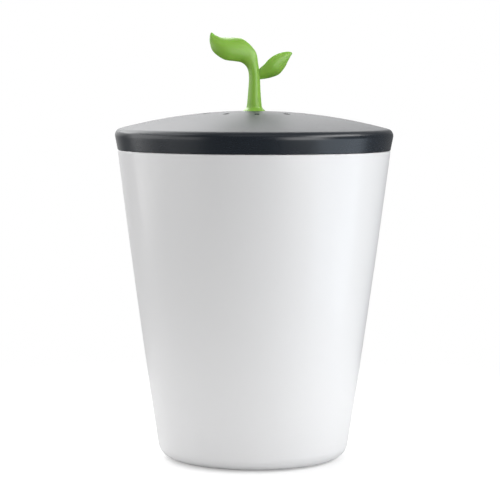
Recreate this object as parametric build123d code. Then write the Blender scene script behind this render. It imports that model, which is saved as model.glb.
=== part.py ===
from build123d import *
from math import asin, atan2, cos, degrees, pi, radians, sin
import os

# A kitchen compost bin: a tapered outer bin, a lift-out bucket with a bail that folds
# into the bucket's gallery, and a domed lid with a sprout for a handle. Two carbon
# filters lie under the dome, behind a cover that locks with a quarter turn bayonet.
# Millimetres. +Z is up, the front is -Y, and the origin is on the table, on the axis.

# Outer bin
bin_height = 212.0          # table to rim
rim_radius = 93.2           # outside, at the rim
base_radius = 63.9          # outside, where the wall's line would meet the table
wall_bow = 0.8              # how far the wall swells past a straight taper, half way up
bin_wall = 3.2
base_corner_radius = 10.3
floor_thickness = 3.2
foot_band_width = 11.0      # flat band that the pads are set in
underside_recess = 2.0
rim_lip = 2.0               # what is left of the wall outside the bucket's seat
rim_seat_depth = 4.0        # rim down to the step that carries the bucket
rim_rounding = 0.9
lip_bevel = 0.5
foot_bevel = 0.8

# Foot pads
pad_count = 4
pad_radius = 4.5
pad_height = 1.6
pad_proud = 0.8             # stands out of its pocket
pad_bevel = 0.3

# Bucket
bucket_wall = 1.9
bucket_gap = 0.6            # to the outer bin's wall, along the gallery
seat_gap = 0.2              # between pieces that rest on each other
flange_gap = 0.4            # bucket flange to the rim's lip
flange_thickness = 2.0
gallery_depth = 17.7        # flange top to the ledge that the bail lies on
ledge_width = 6.2
bucket_floor_gap = 4.0      # bucket's underside to the bin's floor
bucket_bottom = 2.2
bucket_corner_radius = 9.0
bucket_recess = 1.2         # raised middle of the bucket's underside
bucket_foot_width = 12.0
bucket_rounding = 0.8
bucket_bevel = 0.5
gusset_count = 12
gusset_thickness = 1.6
gusset_height = 14.0
gusset_margin = 1.4         # kept back from the gallery's outer face

# Bail
bail_width = 4.6            # radial
bail_height = 6.0
bail_rounding = 1.4
bail_wall_gap = 0.8         # to the gallery's wall
eye_radius = 4.2
eye_rise = 1.9              # pivot above the middle of the hoop
pivot_radius = 2.0
pivot_clearance = 0.06
pivot_tip_gap = 0.3         # pin end inside the bucket's outer face
grip_swell = 3.6            # how far the grip reaches in towards the axis
grip_half_angle = 28.0
grip_rounding = 1.6

# Lid shell
lid_gap = 0.3               # lid skirt to bin rim
lid_overhang = 1.8          # widest edge of the lid past the rim
lid_edge_radius = 3.0
lid_edge_height = 11.7      # rim to the centre of the edge rounding
dome_apex_height = 26.6     # rim to the top of the dome
lid_wall = 2.4
plug_wall = 2.0
plug_gap = 1.7              # plug to the bucket's gallery, bridged by the gasket
plug_depth = 8.5            # plug below the rim
lid_gusset_count = 12
lid_gusset_thickness = 1.8
lid_gusset_drop = 7.0       # below the edge rounding's centre

# Vents through the dome, and the ribs that hold the filters off it
vent_count = 10
vent_radius = 34.6
vent_length = 5.0
vent_width = 1.8
rib_count = 5
rib_thickness = 1.8
rib_inner_radius = 12.0

# Gasket
gasket_height = 2.4
gasket_groove = 0.9         # depth into the plug
gasket_lip_height = 0.9
gasket_gap = 0.25           # lip to the bucket's gallery
gasket_rise = 2.1           # groove above the plug's lower edge

# Filters
filter_radius = 55.6
filter_thickness = 6.0
filter_play = 0.5           # to the cover's collar and to the ribs
filter_gap = 0.2            # between the filters, and under them

# Filter cover
cover_floor = 2.4
collar_wall = 1.8
collar_height = 6.7         # above the cover's floor
chamber_gap = 0.4           # collar to the lid's inward tabs
chamber_wall = 2.0
chamber_drop = 0.3          # lid chamber's lower edge above the cover's rim
lug_count = 3
lug_reach = 1.9
lug_height = 2.2
lug_angle = 26.0
tab_angle = 30.0
tab_height = 2.2
tab_gap = 0.2               # lug to the tab that it locks on
stop_angle = 2.0
stop_gap_angle = 0.6
grille_rings = 5
grille_first_radius = 14.0
grille_pitch = 8.4
grille_slot_width = 4.2
grille_spokes = 6
spoke_width = 4.4
finger_bar_length = 66.0
finger_bar_width = 5.0
finger_bar_height = 6.5
finger_bar_rounding = 1.6
finger_bar_bevel = 0.8
cover_bevel = 0.7

# Handle fixing
boss_radius = 7.0
boss_depth = 9.0            # dome apex to the boss's lower face
screw_radius = 1.95
screw_bite = 14.0           # length of screw inside the stem
screw_head_radius = 3.6
screw_head_height = 2.2
screw_recess_length = 3.8
screw_recess_width = 0.9
screw_recess_depth = 1.3
washer_radius = 5.0
washer_thickness = 0.8
hole_clearance = 0.25       # screw in the boss and the washer
thread_clearance = 0.05     # screw in the stem
key_length = 9.0            # spigot that stops the sprout turning
key_width = 6.0
key_depth = 1.5
key_gap = 0.1
sprout_seat_gap = 0.05

# Sprout
sprout_height = 53.0        # dome apex to the tip of the large leaf
stem_radius = 5.2           # just above the flare
large_leaf_reach = 30.2     # axis to the outermost edge of the large leaf
large_leaf_half_width = 8.9
large_leaf_half_thickness = 2.0
large_leaf_cup = 3.4
small_leaf_reach = 25.9
small_leaf_half_width = 6.3
small_leaf_half_thickness = 1.6
small_leaf_cup = 2.0
leaf_lean = 24.0            # degrees that the upper edges lean back
section_points = 4          # along each half of a leaf's outline

# The stem, from the flare up: height as a share of the sprout's, radius as a share of the stem's.
stem_shares = (
    (-0.016, 1.62),
    (0.008, 1.40),
    (0.036, 1.09),
    (0.080, 0.965),
    (0.250, 0.82),
    (0.440, 0.72),
)
# The large leaf, from the stem to the tip: place as shares of the leaf's reach and the sprout's
# height, then half width, half thickness, cup and lean as shares of the leaf's own.
large_leaf_shares = (
    (0.039, 0.572, 0.45, 1.62, 0.02, 0.02),
    (0.135, 0.691, 0.69, 1.38, 0.15, 0.25),
    (0.355, 0.776, 0.95, 1.08, 0.62, 0.70),
    (0.636, 0.796, 0.94, 0.98, 1.00, 1.00),
    (0.822, 0.846, 0.71, 0.90, 0.75, 0.85),
    (0.902, 0.905, 0.435, 0.76, 0.28, 0.50),
    (0.957, 0.960, 0.20, 0.50, 0.04, 0.20),
    (0.973, 1.000, 0.055, 0.24, 0.00, 0.00),
)
# The small leaf in the same way, from inside the stem to the tip.
small_leaf_shares = (
    (0.020, 0.430, 0.30, 1.10, 0.00, 0.20),
    (0.225, 0.481, 0.69, 1.08, 0.45, 0.80),
    (0.370, 0.517, 0.91, 1.05, 0.90, 1.00),
    (0.510, 0.563, 1.08, 1.00, 1.10, 1.00),
    (0.670, 0.638, 0.94, 0.95, 0.90, 0.95),
    (0.805, 0.694, 0.60, 0.85, 0.50, 0.70),
    (0.915, 0.728, 0.31, 0.65, 0.15, 0.40),
    (0.988, 0.742, 0.09, 0.34, 0.02, 0.20),
)

# Shared
overrun = 5.0               # how far a cutting shape runs past what it cuts


def outer_radius(z):
    """Outside radius of the bin's wall at a height above the table."""
    share = z / bin_height
    return base_radius + (rim_radius - base_radius) * share + 4 * wall_bow * share * (1 - share)


def inner_radius(z):
    return outer_radius(z) - bin_wall


# Heights and radii that follow from the sizes above
underside_z = pad_proud + underside_recess
floor_top_z = underside_z + floor_thickness
foot_outer_radius = outer_radius(pad_proud) - base_corner_radius
foot_inner_radius = foot_outer_radius - foot_band_width
rim_seat_z = bin_height - rim_seat_depth

flange_bottom_z = rim_seat_z + seat_gap
flange_top_z = flange_bottom_z + flange_thickness
ledge_z = flange_top_z - gallery_depth
flange_radius = rim_radius - rim_lip - flange_gap
bucket_bottom_z = floor_top_z + bucket_floor_gap


def gallery_outer(z):
    """Outside radius of the bucket's gallery, which follows the bin's wall."""
    return inner_radius(z) - bucket_gap


def gallery_inner(z):
    return gallery_outer(z) - bucket_wall


bucket_mouth_radius = gallery_inner(ledge_z) - ledge_width
wall_slope = (rim_radius - base_radius) / bin_height


def bucket_inner(z):
    """Inside radius of the bucket below its ledge."""
    return bucket_mouth_radius - wall_slope * (ledge_z - z)


hoop_outer = gallery_inner(ledge_z) - bail_wall_gap
hoop_inner = hoop_outer - bail_width
hoop_radius = hoop_outer - bail_width / 2
hoop_bottom_z = ledge_z + seat_gap
hoop_z = hoop_bottom_z + bail_height / 2
pivot_z = hoop_z + eye_rise

skirt_z = bin_height + lid_gap
lid_radius = rim_radius + lid_overhang
edge_centre_radius = lid_radius - lid_edge_radius
edge_centre_z = bin_height + lid_edge_height
apex_z = bin_height + dome_apex_height
plug_bottom_z = bin_height - plug_depth
plug_outer = gallery_inner(plug_bottom_z) - plug_gap
plug_inner = plug_outer - plug_wall

cover_rim_z = bin_height - chamber_drop
chamber_bottom_z = cover_rim_z + chamber_drop
filter_low_z = cover_rim_z + filter_gap
filter_high_z = filter_low_z + filter_thickness + filter_gap
filter_top_z = filter_high_z + filter_thickness
rib_bottom_z = filter_top_z + filter_play
collar_inner = filter_radius + filter_play
collar_outer = collar_inner + collar_wall
lug_outer = collar_outer + lug_reach
tab_inner = collar_outer + chamber_gap
chamber_inner = lug_outer + chamber_gap
chamber_outer = chamber_inner + chamber_wall
lug_top_z = cover_rim_z + collar_height
lug_bottom_z = lug_top_z - lug_height
tab_top_z = lug_bottom_z - tab_gap
tab_bottom_z = tab_top_z - tab_height

boss_bottom_z = apex_z - boss_depth
washer_bottom_z = boss_bottom_z - washer_thickness
screw_head_z = washer_bottom_z - screw_head_height
screw_top_z = apex_z + screw_bite


# Helpers

def turned(outline):
    """Revolves a closed outline, drawn as radius and height, about the upright axis."""
    return revolve(Plane.XZ * outline, Axis.Z)


def rounded(outline, corners):
    """Rounds the corners of an outline that lie nearest to the given points."""
    for point, radius in corners:
        outline = fillet(outline.vertices().sort_by_distance(point)[0], radius)
    return outline


def bevelled(outline, points, length):
    """Cuts the corners of an outline that lie nearest to the given points."""
    for point in points:
        outline = chamfer(outline.vertices().sort_by_distance(point)[0], length)
    return outline


def tube(inside, outside, low, high):
    """An upright tube between two radii and two heights."""
    middle = Pos((inside + outside) / 2, (low + high) / 2)
    return turned(middle * Rectangle(outside - inside, high - low))


def tube_piece(inside, outside, low, high, middle_angle, width_angle):
    """A stretch of such a tube, centred on an angle from +X."""
    middle = Pos((inside + outside) / 2, (low + high) / 2)
    face = Plane.XZ * (middle * Rectangle(outside - inside, high - low))
    return Rot(0, 0, middle_angle - width_angle / 2) * revolve(face, Axis.Z, width_angle)


def disc(radius, low, high):
    return Pos(0, 0, (low + high) / 2) * Cylinder(radius, high - low)


def evenly(count, first=0.0):
    """Angles of a full circle of copies."""
    return [first + 360.0 * step / count for step in range(count)]


def joined(first, others):
    for other in others:
        first = first + other
    return first


def cut(first, others):
    for other in others:
        first = first - other
    return first


# Outer bin

def pad_places():
    radius = foot_outer_radius - foot_band_width / 2
    first = 180.0 / pad_count
    return [
        (radius * cos(radians(a)), radius * sin(radians(a)))
        for a in evenly(pad_count, first)
    ]


def outer_bin():
    """Moulded in one piece: tapered wall, rolled rim with a step for the bucket, recessed base."""
    middle = bin_height / 2
    lip_radius = rim_radius - rim_lip
    seat_inner = inner_radius(rim_seat_z)
    inside_middle = (floor_top_z + rim_seat_z) / 2
    edges = Polyline(
        (0, floor_top_z),
        (0, underside_z),
        (foot_inner_radius, underside_z),
        (foot_inner_radius, pad_proud),
        (outer_radius(pad_proud), pad_proud),
    )
    edges += ThreePointArc(
        (outer_radius(pad_proud), pad_proud),
        (outer_radius(middle), middle),
        (rim_radius, bin_height),
    )
    edges += Polyline(
        (rim_radius, bin_height),
        (lip_radius, bin_height),
        (lip_radius, rim_seat_z),
        (seat_inner, rim_seat_z),
    )
    edges += ThreePointArc(
        (seat_inner, rim_seat_z),
        (inner_radius(inside_middle), inside_middle),
        (inner_radius(floor_top_z), floor_top_z),
    )
    edges += Line((inner_radius(floor_top_z), floor_top_z), (0, floor_top_z))
    section = rounded(
        make_face(edges),
        [
            ((outer_radius(pad_proud), pad_proud), base_corner_radius),
            ((inner_radius(floor_top_z), floor_top_z), base_corner_radius - bin_wall),
            ((rim_radius, bin_height), min(rim_rounding, rim_lip / 2)),
        ],
    )
    section = bevelled(section, [(foot_inner_radius, pad_proud)], foot_bevel)
    section = bevelled(section, [(lip_radius, bin_height)], min(lip_bevel, rim_lip / 4))
    pocket_top = pad_height
    pockets = [Pos(x, y, 0) * disc(pad_radius, 0, pocket_top) for x, y in pad_places()]
    return cut(turned(section), pockets)


def foot_pads():
    """Soft discs pushed into the pockets of the foot band."""
    outline = Pos(pad_radius / 2, pad_height / 2) * Rectangle(pad_radius, pad_height)
    outline = bevelled(outline, [(pad_radius, 0)], pad_bevel)
    pad = turned(outline)
    return Compound(children=[Pos(x, y, 0) * pad for x, y in pad_places()])


# Bucket

def bucket():
    """Thin moulding that hangs by its flange on the step inside the bin's rim."""
    ledge_low = ledge_z - bucket_wall
    wall_top_out = bucket_inner(ledge_low) + bucket_wall
    foot_out = bucket_inner(bucket_bottom_z) + bucket_wall
    floor_z = bucket_bottom_z + bucket_bottom
    recess_radius = foot_out - bucket_corner_radius - bucket_foot_width
    recess_z = bucket_bottom_z + bucket_recess
    section = make_face(
        Polyline(
            (0, floor_z + bucket_recess),
            (0, recess_z),
            (recess_radius, recess_z),
            (recess_radius + bucket_recess, bucket_bottom_z),
            (foot_out, bucket_bottom_z),
            (wall_top_out, ledge_low),
            (gallery_outer(ledge_low), ledge_low),
            (gallery_outer(flange_bottom_z), flange_bottom_z),
            (flange_radius, flange_bottom_z),
            (flange_radius, flange_top_z),
            (gallery_inner(flange_top_z), flange_top_z),
            (gallery_inner(ledge_z), ledge_z),
            (bucket_mouth_radius, ledge_z),
            (bucket_inner(floor_z), floor_z),
            (recess_radius + bucket_recess, floor_z),
            (recess_radius, floor_z + bucket_recess),
            close=True,
        )
    )
    section = rounded(
        section,
        [
            ((foot_out, bucket_bottom_z), bucket_corner_radius),
            ((bucket_inner(floor_z), floor_z), bucket_corner_radius - bucket_wall),
            ((flange_radius, flange_top_z), bucket_rounding),
            ((gallery_inner(flange_top_z), flange_top_z), bucket_rounding),
            ((bucket_mouth_radius, ledge_z), bucket_rounding),
        ],
    )
    section = bevelled(
        section, [(gallery_outer(ledge_low), ledge_low), (gallery_inner(ledge_z), ledge_z)],
        bucket_bevel,
    )
    body = turned(section)
    root = wall_top_out - bucket_wall / 2
    low = ledge_low - gusset_height
    low_root = root - wall_slope * gusset_height
    gusset_face = make_face(
        Polyline(
            (root, ledge_z - bucket_wall / 2),
            (gallery_outer(ledge_low) - gusset_margin, ledge_z - bucket_wall / 2),
            (gallery_outer(ledge_low) - gusset_margin, ledge_low - bucket_wall),
            (low_root, low),
            close=True,
        )
    )
    gusset = extrude(Plane.XZ * gusset_face, gusset_thickness / 2, both=True)
    first = 180.0 / gusset_count
    body = joined(body, [Rot(0, 0, a) * gusset for a in evenly(gusset_count, first)])
    hole = Pos(0, 0, pivot_z) * Rot(0, 90, 0) * Cylinder(
        pivot_radius + pivot_clearance, 2 * (gallery_outer(pivot_z) + overrun)
    )
    return body - hole


def bail():
    """Half hoop with a swollen grip; a pin on each eye snaps into the gallery's wall."""
    section = RectangleRounded(bail_width, bail_height, bail_rounding)
    face = Plane.XZ * (Pos(hoop_radius, hoop_z) * section)
    body = Rot(0, 0, 180) * revolve(face, Axis.Z, 180)
    spread = radians(grip_half_angle)
    grip_root = hoop_radius
    ends = [(side * hoop_inner * sin(spread), -hoop_inner * cos(spread)) for side in (-1, 1)]
    roots = [(side * grip_root * sin(spread), -grip_root * cos(spread)) for side in (-1, 1)]
    grip_face = make_face(
        ThreePointArc(ends[0], (0, grip_swell - hoop_inner), ends[1])
        + Line(ends[1], roots[1])
        + ThreePointArc(roots[1], (0, -grip_root), roots[0])
        + Line(roots[0], ends[0])
    )
    grip = extrude(Pos(0, 0, hoop_bottom_z) * grip_face, bail_height)
    nearest = grip.edges().filter_by(GeomType.CIRCLE).sort_by_distance((0, 0, hoop_z))[:2]
    grip = fillet(nearest, grip_rounding)
    body = body + grip
    for side in (-1, 1):
        eye = Pos(side * hoop_radius, 0, pivot_z) * Rot(0, 90, 0) * Cylinder(eye_radius, bail_width)
        start = hoop_radius
        tip = gallery_outer(pivot_z) - pivot_tip_gap
        pin = Pos(side * (start + tip) / 2, 0, pivot_z) * Rot(0, 90, 0) * Cylinder(
            pivot_radius, tip - start
        )
        body = body + eye + pin
    return body


# Lid

def dome_shape():
    """Radius and centre height of the dome, which meets the rounded edge without a crease."""
    drop = edge_centre_z - apex_z
    reach = edge_centre_radius
    radius = (reach**2 + drop**2 - lid_edge_radius**2) / (-2 * (drop + lid_edge_radius))
    return radius, apex_z - radius


def lid_outline(inset, foot_z):
    """The solid outline under the lid's outside, moved in by inset and cut off at foot_z."""
    dome_radius, dome_centre_z = dome_shape()
    to_edge = Vector(edge_centre_radius, edge_centre_z) - Vector(0, dome_centre_z)
    to_edge = to_edge.normalized()
    rise = Vector(edge_centre_radius - rim_radius, edge_centre_z - skirt_z)
    lean = atan2(rise.Y, rise.X) - asin(lid_edge_radius / rise.length)
    along = Vector(cos(lean), sin(lean))
    outward = Vector(sin(lean), -cos(lean))
    centre = Vector(edge_centre_radius, edge_centre_z)
    edge = lid_edge_radius - inset
    dome = dome_radius - inset
    skirt_top = centre + outward * edge
    skirt_foot = skirt_top - along * ((skirt_top.Y - foot_z) / along.Y)
    edge_middle = centre + (outward + to_edge).normalized() * edge
    dome_foot = Vector(0, dome_centre_z) + to_edge * dome
    half = atan2(to_edge.X, to_edge.Y) / 2
    dome_middle = Vector(0, dome_centre_z) + Vector(sin(half), cos(half)) * dome
    top = Vector(0, dome_centre_z + dome)
    return make_face(
        Line((0, foot_z), skirt_foot)
        + Line(skirt_foot, skirt_top)
        + ThreePointArc(skirt_top, edge_middle, dome_foot)
        + ThreePointArc(dome_foot, dome_middle, top)
        + Line(top, (0, foot_z))
    )


def vent_angles():
    """A ring of vents that starts at the front."""
    return evenly(vent_count, -90.0)


def rib_angles():
    """Ribs, each midway between two vents."""
    return evenly(rib_count, 180.0 / vent_count - 90.0)


def key_prism(gap, low, high):
    """The oblong key between the sprout and the dome."""
    face = RectangleRounded(
        key_length + 2 * gap, key_width + 2 * gap, key_width / 3 + gap
    )
    return extrude(Pos(0, 0, low) * face, high - low)


def gasket_groove_z():
    return plug_bottom_z + gasket_rise


def lid_shell():
    """Domed cap with a plug that enters the bucket and a round chamber for the filters."""
    outside = turned(lid_outline(0, skirt_z))
    inside = turned(lid_outline(lid_wall, skirt_z - overrun))
    under_dome = turned(lid_outline(lid_wall / 2, plug_bottom_z - overrun))
    shell = outside - inside
    groove_z = gasket_groove_z()
    plug = tube(plug_inner, plug_outer, plug_bottom_z, apex_z)
    plug = plug - tube(
        plug_outer - gasket_groove, plug_outer + overrun, groove_z, groove_z + gasket_height
    )
    chamber = tube(chamber_inner, chamber_outer, chamber_bottom_z, apex_z)
    boss = disc(boss_radius, boss_bottom_z, apex_z)
    ribs = []
    rib_length = chamber_inner + chamber_wall / 2 - rib_inner_radius
    for angle in rib_angles():
        blank = Box(rib_length, rib_thickness, apex_z - rib_bottom_z)
        place = Pos(rib_inner_radius + rib_length / 2, 0, (apex_z + rib_bottom_z) / 2)
        ribs.append(Rot(0, 0, angle) * place * blank)
    gussets = []
    gusset_low = edge_centre_z - lid_gusset_drop
    gusset_start = plug_outer - plug_wall / 2
    gusset_end = rim_radius - lid_wall / 2
    for angle in evenly(lid_gusset_count, 180.0 / lid_gusset_count):
        blank = Box(gusset_end - gusset_start, lid_gusset_thickness, apex_z - gusset_low)
        place = Pos((gusset_start + gusset_end) / 2, 0, (apex_z + gusset_low) / 2)
        gussets.append(Rot(0, 0, angle) * place * blank)
    inner_pieces = joined(plug, [chamber, boss] + ribs + gussets) & under_dome
    lid = shell + inner_pieces
    for angle in evenly(lug_count, 90.0):
        tab = tube_piece(
            tab_inner, chamber_inner + chamber_wall / 2, tab_bottom_z, tab_top_z,
            angle, tab_angle,
        )
        stop_middle = angle + lug_angle / 2 + stop_gap_angle + stop_angle / 2
        stop = tube_piece(
            tab_inner, chamber_inner + chamber_wall / 2, tab_bottom_z, lug_top_z,
            stop_middle, stop_angle,
        )
        lid = lid + tab + stop
    for angle in vent_angles():
        slot = extrude(SlotOverall(vent_length, vent_width), apex_z - boss_bottom_z)
        lid = lid - Rot(0, 0, angle) * Pos(vent_radius, 0, boss_bottom_z) * slot
    screw_hole = disc(screw_radius + hole_clearance, boss_bottom_z - overrun, apex_z + overrun)
    key_hole = key_prism(key_gap, apex_z - key_depth - key_gap, apex_z + overrun)
    return lid - screw_hole - key_hole


def gasket():
    """Soft ring in the plug's groove, with a thin lip that wipes the bucket's gallery."""
    low = gasket_groove_z()
    high = low + gasket_height
    middle = (low + high) / 2
    root = plug_outer - gasket_groove
    lip = gallery_inner(middle - gasket_lip_height / 2) - gasket_gap
    section = make_face(
        Polyline(
            (root, low),
            (plug_outer, low),
            (lip, middle - gasket_lip_height / 2),
            (lip, middle + gasket_lip_height / 2),
            (plug_outer, high),
            (root, high),
            close=True,
        )
    )
    return turned(section)


# Filters and their cover

def filter_disc(low):
    return disc(filter_radius, low, low + filter_thickness)


def cover():
    """Grille with a collar; three lugs on the collar lock over the lid's tabs."""
    floor_low = cover_rim_z - cover_floor
    outline = Pos(chamber_outer / 2, (floor_low + cover_rim_z) / 2) * Rectangle(
        chamber_outer, cover_floor
    )
    outline = bevelled(outline, [(chamber_outer, floor_low)], cover_bevel)
    body = turned(outline) + tube(collar_inner, collar_outer, floor_low, lug_top_z)
    for ring in range(grille_rings):
        radius = grille_first_radius + ring * grille_pitch
        if radius + grille_slot_width > collar_inner:
            break
        open_angle = 360.0 / grille_spokes - degrees(spoke_width / radius)
        for angle in evenly(grille_spokes, 180.0 / grille_spokes):
            body = body - tube_piece(
                radius - grille_slot_width / 2, radius + grille_slot_width / 2,
                floor_low - overrun, cover_rim_z + overrun, angle, open_angle,
            )
    for angle in evenly(lug_count, 90.0):
        body = body + tube_piece(
            collar_outer - collar_wall / 2, lug_outer, lug_bottom_z, lug_top_z,
            angle, lug_angle,
        )
    bar_face = RectangleRounded(finger_bar_length, finger_bar_width, finger_bar_rounding)
    bar = extrude(Pos(0, 0, floor_low - finger_bar_height) * bar_face, finger_bar_height)
    bar = chamfer(bar.faces().sort_by(Axis.Z)[0].edges(), finger_bar_bevel)
    return body + bar


# Sprout and its fixing

def leaf_section(place, along, half_width, half_thickness, cup, lean):
    """A closed, cupped outline square to the leaf's run; with no cup it is an ellipse."""
    across = Vector(along.Z, 0, -along.X).normalized()
    turn = radians(lean)
    across = across * cos(turn) + Vector(0, 1, 0) * sin(turn)
    halves = []
    for side in (1, -1):
        points = []
        for step in range(section_points + 1):
            angle = pi * step / section_points
            u = side * half_width * cos(angle)
            v = side * half_thickness * sin(angle) - cup * sin(angle) ** 2
            points.append((u, v))
        halves.append(Spline(*points, tangents=((0, side), (0, -side))))
    face = make_face(halves[0] + halves[1])
    return Plane(origin=place, x_dir=across, z_dir=along) * face


def lofted(stations):
    """A smooth solid through stations of place, half width, half thickness, cup and lean."""
    places = [station[0] for station in stations]
    sections = []
    for index, station in enumerate(stations):
        before = places[max(index - 1, 0)]
        after = places[min(index + 1, len(places) - 1)]
        sections.append(leaf_section(station[0], (after - before).normalized(), *station[1:]))
    return loft(sections)


def large_leaf_stations():
    stations = []
    for height_share, radius_share in stem_shares:
        radius = stem_radius * radius_share
        place = Vector(0, 0, apex_z + sprout_height * height_share)
        stations.append((place, radius, radius, 0.0, 0.0))
    for x_share, z_share, width_share, thick_share, cup_share, lean_share in large_leaf_shares:
        place = Vector(-large_leaf_reach * x_share, 0, apex_z + sprout_height * z_share)
        stations.append(
            (
                place,
                large_leaf_half_width * width_share,
                large_leaf_half_thickness * thick_share,
                large_leaf_cup * cup_share,
                leaf_lean * lean_share,
            )
        )
    return stations


def small_leaf_stations():
    stations = []
    for x_share, z_share, width_share, thick_share, cup_share, lean_share in small_leaf_shares:
        place = Vector(small_leaf_reach * x_share, 0, apex_z + sprout_height * z_share)
        stations.append(
            (
                place,
                small_leaf_half_width * width_share,
                small_leaf_half_thickness * thick_share,
                small_leaf_cup * cup_share,
                leaf_lean * lean_share,
            )
        )
    return stations


def sprout_handle():
    """One moulding: a stem that bends over into a large leaf, and a small leaf at its side."""
    body = lofted(large_leaf_stations()) + lofted(small_leaf_stations())
    dome = turned(lid_outline(-sprout_seat_gap, skirt_z))
    body = body - dome
    body = body + key_prism(0, apex_z - key_depth, apex_z + key_depth)
    bore = disc(screw_radius + thread_clearance, apex_z - overrun, screw_top_z + screw_radius)
    return body - bore


def handle_screw():
    """Pan head screw, driven up through the boss into the stem."""
    head = Pos(screw_head_radius / 2, (screw_head_z + washer_bottom_z) / 2) * Rectangle(
        screw_head_radius, screw_head_height
    )
    head = rounded(head, [((screw_head_radius, screw_head_z), screw_head_height / 2)])
    body = turned(head) + disc(screw_radius, washer_bottom_z, screw_top_z)
    for length, width in (
        (screw_recess_length, screw_recess_width),
        (screw_recess_width, screw_recess_length),
    ):
        blade = Box(length, width, 2 * screw_recess_depth)
        body = body - Pos(0, 0, screw_head_z) * blade
    return body


def handle_washer():
    return tube(screw_radius + hole_clearance, washer_radius, washer_bottom_z, boss_bottom_z)


def main():
    pieces = {
        "outer_bin": outer_bin(),
        "foot_pads": foot_pads(),
        "inner_bucket": bucket(),
        "bucket_bail": bail(),
        "lid_shell": lid_shell(),
        "lid_gasket": gasket(),
        "carbon_filter_lower": filter_disc(filter_low_z),
        "carbon_filter_upper": filter_disc(filter_high_z),
        "filter_cover": cover(),
        "sprout_handle": sprout_handle(),
        "handle_screw": handle_screw(),
        "handle_washer": handle_washer(),
    }
    os.makedirs("parts", exist_ok=True)
    for name, shape in pieces.items():
        export_step(shape, f"parts/{name}.step")


main()
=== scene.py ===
from math import asin, atan2, cos, pi, radians, sin, sqrt, tan

import bmesh
import bpy
from mathutils import Matrix, Vector


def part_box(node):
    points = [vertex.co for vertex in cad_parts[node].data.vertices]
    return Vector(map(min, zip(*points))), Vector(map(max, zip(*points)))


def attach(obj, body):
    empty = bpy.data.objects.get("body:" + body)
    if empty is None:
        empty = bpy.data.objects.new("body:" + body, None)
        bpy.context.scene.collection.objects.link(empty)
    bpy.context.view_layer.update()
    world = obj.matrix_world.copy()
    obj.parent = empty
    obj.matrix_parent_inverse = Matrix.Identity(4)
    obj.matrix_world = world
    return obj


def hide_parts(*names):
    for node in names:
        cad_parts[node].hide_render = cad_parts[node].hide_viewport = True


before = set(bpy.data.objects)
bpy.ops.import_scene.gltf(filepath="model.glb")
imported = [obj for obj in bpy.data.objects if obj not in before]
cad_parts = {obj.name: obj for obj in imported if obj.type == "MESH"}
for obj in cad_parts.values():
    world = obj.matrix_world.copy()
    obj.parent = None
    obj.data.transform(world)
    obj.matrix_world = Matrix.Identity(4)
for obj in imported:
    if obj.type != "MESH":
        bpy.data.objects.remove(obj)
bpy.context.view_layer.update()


# Outer bin. The tapered body that stands on the worktop: one injection moulding in white ABS,
# about 3 mm thick, with a rounded foot and a step inside the rim for the bucket. The tool is
# polished, so the outside is glossy, with the faint waviness that a thick wall sets with.
bin_low, bin_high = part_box("outer_bin")
rim_z = bin_high.z
foot_z = bin_low.z
rim_radius = 0.0932
base_radius = 0.0639
wall_bow = 0.0008
bin_wall = 0.0032
rim_lip = 0.002
rim_seat_depth = 0.004
rim_rounding = 0.0009
lip_rounding = 0.0005
foot_corner = 0.0103
foot_band = 0.011
underside_recess = 0.002
floor_thickness = 0.0032
wall_levels = 26
first_level = 3
on_axis = 1e-7
crease_angle = radians(32)


def wall_radius(height):
    """Outside radius of the bin's wall, which swells a little between foot and rim."""
    share = height / rim_z
    return base_radius + (rim_radius - base_radius) * share + 4 * wall_bow * share * (1 - share)


def rounded(corners, steps=7):
    """A closed outline through corners of radius, height and rounding."""
    outline = []
    for index, (radius, height, rounding) in enumerate(corners):
        corner = Vector((radius, height))
        if not rounding:
            outline.append(corner)
            continue
        before = (Vector(corners[index - 1][:2]) - corner).normalized()
        after = (Vector(corners[(index + 1) % len(corners)][:2]) - corner).normalized()
        half = before.angle(after) / 2
        centre = corner + (before + after).normalized() * (rounding / sin(half))
        start = corner + before * (rounding / tan(half)) - centre
        end = corner + after * (rounding / tan(half)) - centre
        first = atan2(start.y, start.x)
        sweep = (atan2(end.y, end.x) - first + pi) % (2 * pi) - pi
        for step in range(steps + 1):
            turn = first + sweep * step / steps
            outline.append(centre + Vector((cos(turn), sin(turn))) * rounding)
    return outline


def even_shading(piece):
    """Weights the normals by the faces' sizes, so that flats look flat beside roundings."""
    evened = piece.modifiers.new("even_shading", "WEIGHTED_NORMAL")
    evened.keep_sharp = True


def made(name, shape):
    """Turns a finished bmesh into a smooth-shaded object that keeps its sharp edges crisp."""
    bmesh.ops.recalc_face_normals(shape, faces=shape.faces)
    mesh = bpy.data.meshes.new(name)
    shape.to_mesh(mesh)
    shape.free()
    mesh.shade_smooth()
    mesh.set_sharp_from_angle(angle=crease_angle)
    piece = bpy.data.objects.new(name, mesh)
    bpy.context.scene.collection.objects.link(piece)
    even_shading(piece)
    return piece


def evenly(count, start=0.0):
    """Angles spaced evenly round the upright axis."""
    return [start + 2 * pi * step / count for step in range(count)]


def band(shape, ring, following):
    """Adds the faces between two rings of points. A ring on the axis is one point repeated."""
    for step in range(len(ring)):
        onward = (step + 1) % len(ring)
        corners = [ring[step], ring[onward], following[onward], following[step]]
        corners = list(dict.fromkeys(corners))
        if len(corners) > 2:
            shape.faces.new(corners)


def turned(name, outline, sides=192):
    """Spins a closed outline of radius and height about the upright axis."""
    shape = bmesh.new()
    rings = []
    for r, z in outline:
        if r < on_axis:
            rings.append([shape.verts.new((0, 0, z))] * sides)
        else:
            rings.append([shape.verts.new((r * cos(a), r * sin(a), z)) for a in evenly(sides)])
    for ring, following in zip(rings, rings[1:] + rings[:1]):
        band(shape, ring, following)
    return made(name, shape)


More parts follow.
